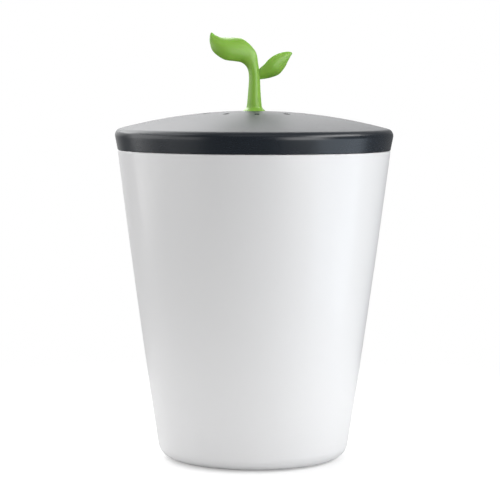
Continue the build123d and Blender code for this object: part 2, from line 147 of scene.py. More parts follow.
def feed(tree, socket, value):
    """Sets a socket to a value, or links it to the socket that gives its value."""
    if isinstance(value, bpy.types.NodeSocket):
        tree.links.new(value, socket)
    else:
        socket.default_value = value


def reckoned(tree, operation, *terms):
    """The result of a Math node on numbers and sockets."""
    step = tree.nodes.new("ShaderNodeMath")
    step.operation = operation
    for socket, term in zip(step.inputs, terms):
        feed(tree, socket, term)
    return step.outputs[0]


def mapped(tree, value, low, high, to_low=0, to_high=1, smooth=False):
    """A value brought from one range to another, and held at the ends."""
    span = tree.nodes.new("ShaderNodeMapRange")
    span.interpolation_type = "SMOOTHSTEP" if smooth else "LINEAR"
    ends = {"From Min": low, "From Max": high, "To Min": to_low, "To Max": to_high}
    for label, number in ends.items():
        span.inputs[label].default_value = number
    tree.links.new(value, span.inputs["Value"])
    return span.outputs[0]


def noise(tree, place, scale, detail=2, distortion=0):
    """Soft random patches between 0 and 1 over the given place."""
    texture = tree.nodes.new("ShaderNodeTexNoise")
    tree.links.new(place, texture.inputs["Vector"])
    feed(tree, texture.inputs["Scale"], scale)
    texture.inputs["Detail"].default_value = detail
    texture.inputs["Distortion"].default_value = distortion
    return texture.outputs["Fac"]


def relief(tree, height, depth, under=None):
    """The normal of a surface with a relief of some depth, over another normal if there is one."""
    bump = tree.nodes.new("ShaderNodeBump")
    tree.links.new(height, bump.inputs["Height"])
    feed(tree, bump.inputs["Distance"], depth)
    if under:
        tree.links.new(under, bump.inputs["Normal"])
    return bump.outputs["Normal"]


def place_on_piece(tree):
    """Where a point lies in its piece's own space."""
    return tree.nodes.new("ShaderNodeTexCoord").outputs["Object"]


def node_group(name, inputs, outputs):
    """A shader group with its sockets made. An input has a name, a kind and a default."""
    group = bpy.data.node_groups.new(name, "ShaderNodeTree")
    for label, kind, default in inputs:
        kind = "NodeSocket" + kind
        socket = group.interface.new_socket(label, in_out="INPUT", socket_type=kind)
        socket.default_value = default
    for label, kind in outputs:
        kind = "NodeSocket" + kind
        group.interface.new_socket(label, in_out="OUTPUT", socket_type=kind)
    given = group.nodes.new("NodeGroupInput").outputs
    out = group.nodes.new("NodeGroupOutput").inputs
    return group, given, out


drift_scale = 14
wave_scale = 60


def moulded_skin_group():
    """Moulded plastic: a slow drift in tone, the melt's waviness and the tool's fine grain."""
    group, given, out = node_group(
        "moulded_skin",
        [
            ("Color", "Color", (0.8, 0.8, 0.8, 1)),
            ("Drift", "Float", 0.03),
            ("Roughness", "Float", 0.3),
            ("Haze", "Float", 0.05),
            ("Grain Scale", "Float", 900.0),
            ("Grain Depth", "Float", 0.00001),
            ("Wave Depth", "Float", 0.00003),
        ],
        [("Color", "Color"), ("Roughness", "Float"), ("Normal", "Vector")],
    )
    place = place_on_piece(group)
    uneven = reckoned(group, "SUBTRACT", noise(group, place, drift_scale, detail=3), 0.5)
    tone = reckoned(group, "MULTIPLY_ADD", uneven, given["Drift"], 1)
    haze = reckoned(group, "MULTIPLY_ADD", uneven, given["Haze"], given["Roughness"])
    shade = group.nodes.new("ShaderNodeHueSaturation")
    feed(group, shade.inputs["Value"], tone)
    feed(group, shade.inputs["Color"], given["Color"])
    waves = relief(group, noise(group, place, wave_scale, detail=1), given["Wave Depth"])
    grain = noise(group, place, given["Grain Scale"], detail=4)
    feed(group, out["Color"], shade.outputs["Color"])
    feed(group, out["Roughness"], haze)
    feed(group, out["Normal"], relief(group, grain, given["Grain Depth"], waves))
    return group


scratch_wander = 0.6
scratch_low, scratch_high = 0.56, 0.72
patch_scale = 22
patch_low, patch_high = 0.4, 0.7


def rub_group():
    """Wear from wiping and handling: fine scratches, mostly one way, that gather in patches."""
    group, given, out = node_group(
        "wiping_rub",
        [("Scale", "Float", 260.0), ("Stretch", "Vector", (1, 1, 8)), ("Share", "Float", 0.3)],
        [("Rub", "Float")],
    )
    place = place_on_piece(group)
    squeeze = group.nodes.new("ShaderNodeVectorMath")
    squeeze.operation = "MULTIPLY"
    feed(group, squeeze.inputs[0], place)
    feed(group, squeeze.inputs[1], given["Stretch"])
    lines = noise(group, squeeze.outputs[0], given["Scale"], 5, scratch_wander)
    scratches = mapped(group, lines, scratch_low, scratch_high)
    patches = mapped(group, noise(group, place, patch_scale), patch_low, patch_high)
    rubbed = reckoned(group, "MULTIPLY", scratches, patches)
    feed(group, out["Rub"], reckoned(group, "MULTIPLY", rubbed, given["Share"]))
    return group


moulded_skin = moulded_skin_group()
wiping_rub = rub_group()
light_spread = (0.6, 0.9, 0.25)
light_reach = 0.002


def blank_material(name):
    """A new material, with its shader tree and its shader."""
    material = bpy.data.materials.new(name)
    material.use_nodes = True
    return material, material.node_tree, material.node_tree.nodes["Principled BSDF"]


def set_inputs(node, values):
    """Sets a node's inputs to values, by the inputs' names."""
    for label, value in values.items():
        node.inputs[label].default_value = value


def plastic(
    name, colour, roughness, drift=0.03, haze=0.05, grain_scale=900, grain_depth=0.00001,
    wave_depth=0.00003, rub=0.06, specular=0.5, coat=0.0, coat_roughness=0.1, depth=0.0,
):
    """A moulded plastic with its skin and rub; depth is how much light sinks into it."""
    material, tree, shader = blank_material(name)
    skin = tree.nodes.new("ShaderNodeGroup")
    skin.node_tree = moulded_skin
    skin_values = {
        "Color": (*colour, 1), "Drift": drift, "Roughness": roughness, "Haze": haze,
        "Grain Scale": grain_scale, "Grain Depth": grain_depth, "Wave Depth": wave_depth,
    }
    set_inputs(skin, skin_values)
    worn = tree.nodes.new("ShaderNodeGroup")
    worn.node_tree = wiping_rub
    worn.inputs["Share"].default_value = rub
    rougher = reckoned(tree, "ADD", skin.outputs["Roughness"], worn.outputs["Rub"])
    feed(tree, shader.inputs["Base Color"], skin.outputs["Color"])
    feed(tree, shader.inputs["Roughness"], rougher)
    feed(tree, shader.inputs["Normal"], skin.outputs["Normal"])
    shader_values = {
        "Specular IOR Level": specular, "Coat Weight": coat, "Coat Roughness": coat_roughness,
        "Subsurface Weight": depth, "Subsurface Radius": light_spread,
        "Subsurface Scale": light_reach,
    }
    set_inputs(shader, shader_values)
    return material


def finish_with(piece, material):
    """Gives a piece, or a node of the frame, its one material."""
    piece.data.materials.clear()
    piece.data.materials.append(material)


def bin_outline():
    """The bin's section: up the inside from the floor, over the rim and down to the foot."""
    floor_low = foot_z + underside_recess
    floor_top = floor_low + floor_thickness
    lip_radius = rim_radius - rim_lip
    seat_z = rim_z - rim_seat_depth
    band_inner = wall_radius(foot_z) - foot_corner - foot_band
    shares = [step / wall_levels for step in range(first_level, wall_levels)]
    inner_levels = [floor_top + (seat_z - floor_top) * share for share in shares]
    outer_levels = [foot_z + (rim_z - foot_z) * share for share in reversed(shares)]
    return rounded(
        [
            (0, floor_top, 0),
            (wall_radius(floor_top) - bin_wall, floor_top, foot_corner - bin_wall),
        ]
        + [(wall_radius(level) - bin_wall, level, 0) for level in inner_levels]
        + [
            (wall_radius(seat_z) - bin_wall, seat_z, 0),
            (lip_radius, seat_z, 0),
            (lip_radius, rim_z, lip_rounding),
            (rim_radius, rim_z, rim_rounding),
        ]
        + [(wall_radius(level), level, 0) for level in outer_levels]
        + [
            (wall_radius(foot_z), foot_z, foot_corner),
            (band_inner, foot_z, rim_rounding),
            (band_inner, floor_low, rim_rounding),
            (0, floor_low, 0),
        ]
    )


white_abs = plastic(
    "white_abs", (0.86, 0.86, 0.865), roughness=0.3, drift=0.012, haze=0.06, grain_scale=1400,
    grain_depth=0.000004, wave_depth=0.00004, rub=0.05, coat=0.25, coat_roughness=0.16,
)
bin_body = turned("bin_body", bin_outline())
finish_with(bin_body, white_abs)
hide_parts("outer_bin")
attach(bin_body, "bin")


# Foot pads. Four discs of soft grey silicone, pressed into pockets in the flat band of the base.
# They are moulded with a bevelled edge, and pick up a little dust from the worktop.
pad_silicone = plastic(
    "pad_silicone", (0.42, 0.43, 0.44), roughness=0.72, drift=0.1, haze=0.15, grain_scale=2200,
    grain_depth=0.00003, rub=0.2, specular=0.35,
)
finish_with(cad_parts["foot_pads"], pad_silicone)


# Inner bucket. A thin lift-out liner in grey polypropylene that hangs by its flange on the step
# in the bin's rim. Under the flange a gallery steps inwards to a ledge for the bail, and gussets
# stiffen the ledge from outside. It goes in the dishwasher, so its gloss is dulled.
bucket_low, bucket_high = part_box("inner_bucket")
bucket_wall = 0.0019
bucket_gap = 0.0006
flange_gap = 0.0004
flange_thickness = 0.002
gallery_depth = 0.0177
ledge_width = 0.0062
bucket_floor = 0.0022
bucket_corner = 0.009
bucket_recess = 0.0012
bucket_foot = 0.012
bucket_rounding = 0.0008
gusset_count = 12
gusset_thickness = 0.0016
gusset_height = 0.014
gusset_margin = 0.0014
pin_hole_radius = 0.00206
pivot_rise = 0.0049
flange_top_z = bucket_high.z
flange_low_z = flange_top_z - flange_thickness
flange_radius = rim_radius - rim_lip - flange_gap
ledge_z = flange_top_z - gallery_depth
ledge_low_z = ledge_z - bucket_wall
wall_slope = (rim_radius - base_radius) / rim_z


def gallery_inner(height):
    """Inside radius of the bucket's gallery, which follows the bin's wall."""
    return wall_radius(height) - bin_wall - bucket_gap - bucket_wall


mouth_radius = gallery_inner(ledge_z) - ledge_width
pivot_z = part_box("bucket_bail")[0].z + pivot_rise


def bucket_inner(height):
    """Inside radius of the bucket below its ledge."""
    return mouth_radius - wall_slope * (ledge_z - height)


def bucket_outline():
    """The bucket's section: along the underside, up the outside and down the inside."""
    foot_radius = bucket_inner(bucket_low.z) + bucket_wall
    floor_z = bucket_low.z + bucket_floor
    recess_radius = foot_radius - bucket_corner - bucket_foot
    return rounded(
        [
            (0, bucket_low.z + bucket_recess, 0),
            (recess_radius, bucket_low.z + bucket_recess, bucket_rounding),
            (recess_radius + bucket_recess, bucket_low.z, bucket_rounding),
            (foot_radius, bucket_low.z, bucket_corner),
            (bucket_inner(ledge_low_z) + bucket_wall, ledge_low_z, bucket_rounding),
            (gallery_inner(ledge_low_z) + bucket_wall, ledge_low_z, bucket_rounding),
            (gallery_inner(flange_low_z) + bucket_wall, flange_low_z, 0),
            (flange_radius, flange_low_z, 0),
            (flange_radius, flange_top_z, bucket_rounding),
            (gallery_inner(flange_top_z), flange_top_z, bucket_rounding),
            (gallery_inner(ledge_z), ledge_z, bucket_rounding / 2),
            (mouth_radius, ledge_z, bucket_rounding),
            (bucket_inner(floor_z), floor_z, bucket_corner - bucket_wall),
            (recess_radius + bucket_recess, floor_z, bucket_rounding),
            (recess_radius, floor_z + bucket_recess, bucket_rounding),
            (0, floor_z + bucket_recess, 0),
        ]
    )


def skinned(shape, rings):
    """Adds a skin over a run of outlines, with a face on each end."""
    shape.faces.new(rings[0])
    shape.faces.new(reversed(rings[-1]))
    for ring, following in zip(rings, rings[1:]):
        band(shape, ring, following)


def plate(shape, outline, thickness, turn):
    """Adds an upright plate with an outline of radius and height, turned about the axis."""
    spin = Matrix.Rotation(turn, 3, "Z")
    sides = []
    for offset in (-thickness / 2, thickness / 2):
        sides.append([shape.verts.new(spin @ Vector((r, offset, z))) for r, z in outline])
    skinned(shape, sides)


def bucket_gussets():
    """Small plates under the ledge, from the bucket's wall out to the gallery's."""
    root = bucket_inner(ledge_low_z) + bucket_wall / 2
    reach = gallery_inner(ledge_low_z) + bucket_wall - gusset_margin
    outline = [
        (root, ledge_z - bucket_wall / 2),
        (reach, ledge_z - bucket_wall / 2),
        (reach, ledge_low_z - bucket_wall),
        (root - wall_slope * gusset_height, ledge_low_z - gusset_height),
    ]
    shape = bmesh.new()
    for turn in evenly(gusset_count, pi / gusset_count):
        plate(shape, outline, gusset_thickness, turn)
    return made("bucket_gussets", shape)


def rod(name, radius, start, end, sides=32):
    """A round bar between two points, used to cut bores."""
    shape = bmesh.new()
    run = end - start
    bmesh.ops.create_cone(
        shape, cap_ends=True, segments=sides, radius1=radius, radius2=radius, depth=run.length
    )
    piece = made(name, shape)
    piece.data.transform(run.to_track_quat("Z", "Y").to_matrix().to_4x4())
    piece.data.transform(Matrix.Translation((start + end) / 2))
    return piece


def combine(piece, tool, operation="DIFFERENCE", crease=crease_angle):
    """Cuts the tool out of the piece, or joins it on, and takes the tool away."""
    step = piece.modifiers.new("combine", "BOOLEAN")
    step.operation = operation
    step.solver = "EXACT"
    step.object = tool
    piece.modifiers.remove(piece.modifiers["even_shading"])
    graph = bpy.context.evaluated_depsgraph_get()
    result = bpy.data.meshes.new_from_object(piece.evaluated_get(graph))
    piece.modifiers.clear()
    piece.data = result
    result.shade_smooth()
    result.set_sharp_from_angle(angle=crease)
    even_shading(piece)
    bpy.data.objects.remove(tool)


grey_pp = plastic(
    "grey_polypropylene", (0.46, 0.47, 0.48), roughness=0.46, drift=0.04, haze=0.1,
    grain_scale=1600, grain_depth=0.00002, rub=0.14, specular=0.45, depth=0.06,
)
bucket_body = turned("bucket_body", bucket_outline())
hole_reach = Vector((rim_radius, 0, 0))
hole_centre = Vector((0, 0, pivot_z))
pin_hole = rod("pin_hole", pin_hole_radius, hole_centre - hole_reach, hole_centre + hole_reach)
combine(bucket_body, pin_hole)
gussets = bucket_gussets()
for piece in (bucket_body, gussets):
    finish_with(piece, grey_pp)
    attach(piece, "bucket")
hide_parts("inner_bucket")
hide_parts("inner_bucket")


# Bail. The bucket's carry handle: a half hoop moulded in green polypropylene to go with the
# sprout, with a pin on each eye that snaps into the gallery's wall and a swollen grip.
bail_green = plastic(
    "bail_green", (0.2, 0.4, 0.055), roughness=0.4, drift=0.05, haze=0.1, grain_scale=1500,
    grain_depth=0.00002, rub=0.12, depth=0.05,
)
finish_with(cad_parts["bucket_bail"], bail_green)


# Lid. A domed cap moulded in charcoal ABS whose short skirt carries on the bin's taper, with a
# ring of ten vents round the handle. Inside are a plug that enters the bucket, gussets behind the
# skirt, and a round chamber with ribs and tabs that holds the filters and their cover.
lid_low, lid_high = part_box("lid_shell")
apex_z = lid_high.z
lid_radius = min(lid_high.x, lid_high.y)
lid_gap = 0.0003
lid_edge_radius = 0.0048
lid_edge_height = 0.01
lid_wall = 0.0024
skirt_steps = 6
edge_steps = 12
dome_steps = 40
plug_wall = 0.002
plug_gap = 0.0017
gasket_groove = 0.0009
ring_rounding = 0.0003
lid_gusset_count = 12
lid_gusset_thickness = 0.0018
lid_gusset_drop = 0.0053
vent_count = 10
vent_radius = 0.0346
vent_length = 0.006
vent_width = 0.0034
rib_count = 5
rib_thickness = 0.0018
rib_inner_radius = 0.012
rib_gap = 0.0005
rib_steps = 6
edge_centre = Vector((lid_radius - lid_edge_radius, rim_z + lid_edge_height))
skirt_z = rim_z + lid_gap
dome_drop = edge_centre.y - apex_z
dome_reach = edge_centre.x**2 + dome_drop**2 - lid_edge_radius**2
dome_radius = dome_reach / (-2 * (dome_drop + lid_edge_radius))
dome_centre_z = apex_z - dome_radius


def dome_height(radius, inset=0.0):
    """Height of the dome's outside at a radius, or of the surface that lies inset under it."""
    return dome_centre_z + sqrt((dome_radius - inset) ** 2 - radius**2)


def lid_side(inset, low):
    """The lid's outline up the skirt, round the edge and over to the apex, moved in by inset."""
    to_edge = (edge_centre - Vector((0, dome_centre_z))).normalized()
    rise = edge_centre - Vector((rim_radius, skirt_z))
    lean = atan2(rise.y, rise.x) - asin(lid_edge_radius / rise.length)
    outward = Vector((sin(lean), -cos(lean)))
    along = Vector((cos(lean), sin(lean)))
    top = edge_centre + outward * (lid_edge_radius - inset)
    foot = top - along * ((top.y - low) / along.y)
    line = [foot + (top - foot) * step / skirt_steps for step in range(skirt_steps)]
    first = atan2(outward.y, outward.x)
    sweep = atan2(to_edge.y, to_edge.x) - first
    for step in range(edge_steps + 1):
        turn = first + sweep * step / edge_steps
        line.append(edge_centre + Vector((cos(turn), sin(turn))) * (lid_edge_radius - inset))
    for step in range(1, dome_steps + 1):
        lean = asin(to_edge.x) * (1 - step / dome_steps)
        out = Vector((sin(lean), cos(lean))) * (dome_radius - inset)
        line.append(out + Vector((0, dome_centre_z)))
    return line


def lid_outline():
    """The cap's section, with the inside a wall's thickness under the outside."""
    return lid_side(0, skirt_z) + list(reversed(lid_side(lid_wall, skirt_z)))


def slot_cutter(name, centre, length, width, low, high, turn, steps=8):
    """An upright prism with the outline of a slot that runs outwards from the axis."""
    outline = []
    for side in (1, -1):
        for step in range(steps + 1):
            angle = pi * step / steps - pi / 2
            along = centre + side * ((length - width) / 2 + width / 2 * cos(angle))
            outline.append((along, side * width / 2 * sin(angle)))
    shape = bmesh.new()
    spin = Matrix.Rotation(turn, 3, "Z")
    rings = []
    for z in (low, high):
        rings.append([shape.verts.new(spin @ Vector((x, y, z))) for x, y in outline])
    skinned(shape, rings)
    return made(name, shape)


def joined(name, pieces):
    """Puts several closed pieces into one mesh."""
    shape = bmesh.new()
    for piece in pieces:
        shape.from_mesh(piece.data)
        bpy.data.objects.remove(piece)
    return made(name, shape)


charcoal_abs = plastic(
    "charcoal_abs", (0.0045, 0.0095, 0.0165), roughness=0.27, drift=0.1, haze=0.06,
    grain_scale=1500, grain_depth=0.00001, wave_depth=0.00003, rub=0.05, specular=0.65,
)
satin_low_z = edge_centre.y + 0.4 * lid_edge_radius
satin_high_z = edge_centre.y + 0.8 * lid_edge_radius
satin_dulling = 0.22


def satin_top(material):
    """Dulls the dome's top, whose mould is etched, and leaves the skirt and the edge polished."""
    tree = material.node_tree
    rough = tree.nodes["Principled BSDF"].inputs["Roughness"]
    split = tree.nodes.new("ShaderNodeSeparateXYZ")
    feed(tree, split.inputs[0], place_on_piece(tree))
    duller = mapped(
        tree, split.outputs["Z"], satin_low_z, satin_high_z, to_high=satin_dulling, smooth=True
    )
    feed(tree, rough, reckoned(tree, "ADD", rough.links[0].from_socket, duller))


satin_top(charcoal_abs)
lid_cap = turned("lid_cap", lid_outline(), sides=240)
vent_low_z = dome_height(vent_radius) - 2 * lid_wall
vent_tools = [
    slot_cutter("vent", vent_radius, vent_length, vent_width, vent_low_z, apex_z, turn)
    for turn in evenly(vent_count, -pi / 2)
]
combine(lid_cap, joined("vent_tools", vent_tools))


def lid_ring(name, inner, outer, low, notch=None):
    """A ring that stands on the inside of the dome, with an optional groove in its outer face."""
    corners = [(inner, low, ring_rounding), (outer, low, ring_rounding)]
    if notch:
        depth, groove_low, groove_high = notch
        corners += [
            (outer, groove_low, 0), (outer - depth, groove_low, 0),
            (outer - depth, groove_high, 0), (outer, groove_high, 0),
        ]
    corners += [
        (outer, dome_height(outer, lid_wall / 2), 0),
        (inner, dome_height(inner, lid_wall / 2), 0),
    ]
    return turned(name, rounded(corners, steps=3))


gasket_low, gasket_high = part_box("lid_gasket")
plug_low = lid_low.z
plug_outer = gallery_inner(plug_low) - plug_gap
plug_groove = (gasket_groove, gasket_low.z, gasket_high.z)
lid_plug = lid_ring("lid_plug", plug_outer - plug_wall, plug_outer, plug_low, plug_groove)
cover_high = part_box("filter_cover")[1]
chamber_outer = min(cover_high.x, cover_high.y)
chamber_wall = 0.002
chamber_inner = chamber_outer - chamber_wall
filter_chamber = lid_ring("filter_chamber", chamber_inner, chamber_outer, rim_z)


def lid_stiffeners():
    """Ribs over the filters, and gussets between the plug and the skirt."""
    shape = bmesh.new()
    rib_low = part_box("carbon_filter_upper")[1].z + rib_gap
    rib_outer = chamber_inner + chamber_wall / 2
    rib_run = rib_outer - rib_inner_radius
    span = [rib_inner_radius + rib_run * step / rib_steps for step in range(rib_steps + 1)]
    rib = [(span[0], rib_low), (span[-1], rib_low)]
    rib += [(radius, dome_height(radius, lid_wall / 2)) for radius in reversed(span)]
    for turn in evenly(rib_count, pi / vent_count - pi / 2):
        plate(shape, rib, rib_thickness, turn)
    start = plug_outer - plug_wall / 2
    end = rim_radius - lid_wall / 2
    low = edge_centre.y - lid_gusset_drop
    into_wall = lid_edge_radius - lid_wall / 2
    gusset = [
        (start, low),
        (end, low),
        (edge_centre.x + into_wall, edge_centre.y),
        (edge_centre.x, edge_centre.y + into_wall),
        (start, dome_height(start, lid_wall / 2)),
    ]
    for turn in evenly(lid_gusset_count, pi / lid_gusset_count):
        plate(shape, gusset, lid_gusset_thickness, turn)
    return made("lid_ribs", shape)


def arc_block(shape, inner, outer, low, high, middle, width, steps=8):
    """Adds a stretch of an upright ring between two radii, centred on an angle."""
    corners = ((inner, low), (outer, low), (outer, high), (inner, high))
    sections = []
    for step in range(steps + 1):
        angle = middle - width / 2 + width * step / steps
        out = Vector((cos(angle), sin(angle), 0))
        sections.append([shape.verts.new(out * r + Vector((0, 0, z))) for r, z in corners])
    skinned(shape, sections)


lug_count = 3
lug_height = 0.0022
lug_angle = radians(26)
tab_gap = 0.0002
tab_height = 0.0022
tab_reach = 0.0019
tab_angle = radians(30)
stop_gap_angle = radians(0.6)
stop_angle = radians(2)
lug_top_z = cover_high.z
tab_top_z = lug_top_z - lug_height - tab_gap
tab_low_z = tab_top_z - tab_height


def bayonet_tabs():
    """Inward tabs that the cover's lugs lock over, each with a stop at one end."""
    shape = bmesh.new()
    inner = chamber_inner - tab_reach
    outer = chamber_inner + chamber_wall / 2
    for middle in evenly(lug_count, pi / 2):
        arc_block(shape, inner, outer, tab_low_z, tab_top_z, middle, tab_angle)
        stop_middle = middle + lug_angle / 2 + stop_gap_angle + stop_angle / 2
        arc_block(shape, inner, outer, tab_low_z, lug_top_z, stop_middle, stop_angle)
    return made("bayonet_tabs", shape)


boss_bore = 0.0022
boss_radius = 0.007
boss_rounding = 0.0006
boss_low_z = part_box("handle_washer")[1].z
boss_outline = rounded(
    [
        (boss_bore, boss_low_z, ring_rounding),
        (boss_radius, boss_low_z, boss_rounding),
        (boss_radius, dome_height(boss_radius, lid_wall / 2), 0),
        (boss_bore, dome_height(boss_bore, lid_wall / 2), 0),
    ]
)
handle_boss = turned("handle_boss", boss_outline, sides=64)
lid_pieces = [lid_cap, lid_plug, filter_chamber, lid_stiffeners(), bayonet_tabs(), handle_boss]
for piece in lid_pieces:
    finish_with(piece, charcoal_abs)
    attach(piece, "lid")
    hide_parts("lid_shell")


# Gasket. A soft black silicone ring in the plug's groove, with a thin lip that wipes the
# gallery. Silicone has no gloss, and keeps a faint bloom of dust.
black_silicone = plastic(
    "black_silicone", (0.03, 0.03, 0.033), roughness=0.62, drift=0.15, haze=0.15,
    grain_scale=2500, grain_depth=0.00002, rub=0.15, specular=0.4,
)
finish_with(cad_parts["lid_gasket"], black_silicone)


# Carbon filters. Two discs of needled polyester felt, 6 mm thick, loaded with carbon and cut out
# with a die. They lie one on the other on the cover's grille, and are black, matt and fibrous.
fibre_scale = 1300
fibre_wander = 1.5
lump_scale = 420
lump_share = 0.6
felt_depth = 0.0004


def two_tones(tree, amount, dark, light):
    """A colour between two, by an amount that changes over the surface."""
    tones = tree.nodes.new("ShaderNodeValToRGB")
    tones.color_ramp.elements[0].color = (*dark, 1)
    tones.color_ramp.elements[1].color = (*light, 1)
    feed(tree, tones.inputs["Fac"], amount)
    return tones.outputs["Color"]


def felt_material():
    """Black needled felt: fine crossing fibres over small lumps, with a little sheen."""
    material, tree, shader = blank_material("carbon_felt")
    felt_values = {
        "Roughness": 0.95, "Specular IOR Level": 0.2, "Sheen Weight": 0.35,
        "Sheen Roughness": 0.5,
    }
    set_inputs(shader, felt_values)
    place = place_on_piece(tree)
    fibres = noise(tree, place, fibre_scale, 6, fibre_wander)
    lumps = tree.nodes.new("ShaderNodeTexVoronoi")
    lumps.inputs["Scale"].default_value = lump_scale
    feed(tree, lumps.inputs["Vector"], place)
    black = two_tones(tree, fibres, (0.008, 0.008, 0.009), (0.055, 0.055, 0.058))
    height = reckoned(tree, "MULTIPLY_ADD", lumps.outputs["Distance"], lump_share, fibres)
    feed(tree, shader.inputs["Base Color"], black)
    feed(tree, shader.inputs["Normal"], relief(tree, height, felt_depth))
    return material


carbon_felt = felt_material()
for node in ("carbon_filter_lower", "carbon_filter_upper"):
    finish_with(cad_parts[node], carbon_felt)


# Filter cover. A grille moulded in charcoal ABS that turns on three lugs to lock in the lid's
# chamber, with a collar that holds the filters and a finger bar across its underside.
cover_abs = plastic(
    "cover_abs", (0.022, 0.024, 0.028), roughness=0.42, drift=0.1, haze=0.08, grain_scale=1500,
    grain_depth=0.00002, rub=0.1,
)
finish_with(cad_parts["filter_cover"], cover_abs)


# Handle screw and washer. A pan head M4 screw in zinc-plated steel, with a cross recess, driven
# up through a flat washer and the lid's boss into the stem.
plating_scale = 700
plating_roughness = (0.22, 0.4)


def plated_steel_material():
    """Zinc plating, which clouds a little in tone and in gloss."""
    material, tree, shader = blank_material("plated_steel")
    shader.inputs["Metallic"].default_value = 1
    cloud = noise(tree, place_on_piece(tree), plating_scale, detail=4)
    zinc = two_tones(tree, cloud, (0.5, 0.51, 0.53), (0.68, 0.69, 0.71))
    feed(tree, shader.inputs["Base Color"], zinc)
    feed(tree, shader.inputs["Roughness"], mapped(tree, cloud, 0, 1, *plating_roughness))
    return material


plated_steel = plated_steel_material()
for node in ("handle_screw", "handle_washer"):
    finish_with(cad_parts[node], plated_steel)


# Sprout handle. One solid moulding in green ABS, in the shape of a seedling, held down by the
# screw: a round stem that flares on the dome and bends over into a large fleshy leaf with a
# turned-up tip, and a small leaf on its right. Both leaves are slightly dished on the front.
sprout_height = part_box("sprout_handle")[1].z - apex_z
stem_radius = 0.0052
large_leaf_reach = 0.0302
large_leaf_half_width = 0.0089
large_leaf_half_thickness = 0.002
large_leaf_cup = 0.0034
small_leaf_reach = 0.0259
small_leaf_half_width = 0.0063
small_leaf_half_thickness = 0.0016
small_leaf_cup = 0.002
leaf_lean = radians(24)
fork_crease = radians(40)
stem_shares = (
    (-0.016, 1.62),
    (0.008, 1.40),
    (0.036, 1.09),
    (0.080, 0.965),
    (0.250, 0.82),
    (0.440, 0.72),
)
large_leaf_shares = (
    (0.039, 0.572, 0.45, 1.62, 0.02, 0.02),
    (0.135, 0.691, 0.69, 1.38, 0.15, 0.25),
    (0.355, 0.776, 0.95, 1.08, 0.62, 0.70),
    (0.636, 0.796, 0.94, 0.98, 1.00, 1.00),
    (0.822, 0.846, 0.71, 0.90, 0.75, 0.85),
    (0.902, 0.905, 0.435, 0.76, 0.28, 0.50),
    (0.957, 0.960, 0.20, 0.50, 0.04, 0.20),
    (0.973, 0.9975, 0.055, 0.24, 0.00, 0.00),
)
small_leaf_shares = (
    (0.020, 0.430, 0.30, 1.10, 0.00, 0.20),
    (0.225, 0.481, 0.69, 1.08, 0.45, 0.80),
    (0.370, 0.517, 0.91, 1.05, 0.90, 1.00),
    (0.510, 0.563, 1.08, 1.00, 1.10, 1.00),
    (0.670, 0.638, 0.94, 0.95, 0.90, 0.95),
    (0.805, 0.694, 0.60, 0.85, 0.50, 0.70),
    (0.915, 0.728, 0.31, 0.65, 0.15, 0.40),
    (0.988, 0.742, 0.09, 0.34, 0.02, 0.20),
)


def stem_stations(shares):
    """Round stations up the stem, from shares of the sprout's height and the stem's radius."""
    return [
        [0, apex_z + sprout_height * z, stem_radius * r, stem_radius * r, 0, 0]
        for z, r in shares
    ]


def leaf_stations(shares, reach, width, thickness, cup):
    """Stations along a leaf, from shares of its reach, the sprout's height and the leaf's own
    half width, half thickness, cup and lean."""
    return [
        [reach * x, apex_z + sprout_height * z, width * w, thickness * t, cup * c, leaf_lean * n]
        for x, z, w, t, c, n in shares
    ]


def leaf_ring(before, station, after, around=56):
    """The cupped outline at a station, square to the leaf's run, as a flat list of numbers."""
    x, z, width, thick, cup, lean = station
    along = Vector((after[0] - before[0], 0, after[1] - before[1])).normalized()
    across = Vector((along.z, 0, -along.x)) * cos(lean) + Vector((0, 1, 0)) * sin(lean)
    front = along.cross(across)
    ring = []
    for angle in evenly(around):
        rise = thick * sin(angle) - cup * sin(angle) ** 2
        ring.extend(Vector((x, 0, z)) + across * width * cos(angle) + front * rise)
    return ring


def smoothed(rows, between=7):
    """Adds rows of numbers on a smooth curve between the given ones."""
    full = []
    last = len(rows) - 1
    for index in range(last):
        near = [rows[max(index - 1, 0)], rows[index], rows[index + 1], rows[min(index + 2, last)]]
        for step in range(between):
            t = step / between
            full.append(
                [
                    q + (r - p) * t / 2 + (2 * p - 5 * q + 4 * r - s) * t**2 / 2
                    + (3 * q - p - 3 * r + s) * t**3 / 2
                    for p, q, r, s in zip(*near)
                ]
            )
    full.append(rows[last])
    return full


def leaf_mesh(name, stations):
    """A skin over stations of x, z, half width, half thickness, cup and lean."""
    last = len(stations) - 1
    outlines = [
        leaf_ring(stations[max(index - 1, 0)], station, stations[min(index + 1, last)])
        for index, station in enumerate(stations)
    ]
    shape = bmesh.new()
    rings = []
    for row in smoothed(outlines):
        rings.append([shape.verts.new(row[at:at + 3]) for at in range(0, len(row), 3)])
    skinned(shape, rings)
    return made(name, shape)


large_leaf = leaf_stations(
    large_leaf_shares, -large_leaf_reach, large_leaf_half_width, large_leaf_half_thickness,
    large_leaf_cup,
)
small_leaf = leaf_stations(
    small_leaf_shares, small_leaf_reach, small_leaf_half_width, small_leaf_half_thickness,
    small_leaf_cup,
)
sprout_green = plastic(
    "sprout_green", (0.29, 0.565, 0.065), roughness=0.38, drift=0.06, haze=0.08,
    grain_scale=1500, grain_depth=0.00001, wave_depth=0.00004, rub=0.08, specular=0.65, depth=0.4,
)
sprout = leaf_mesh("sprout", stem_stations(stem_shares) + large_leaf)
combine(sprout, leaf_mesh("small_leaf", small_leaf), "UNION", fork_crease)
finish_with(sprout, sprout_green)
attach(sprout, "lid")
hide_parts("sprout_handle")


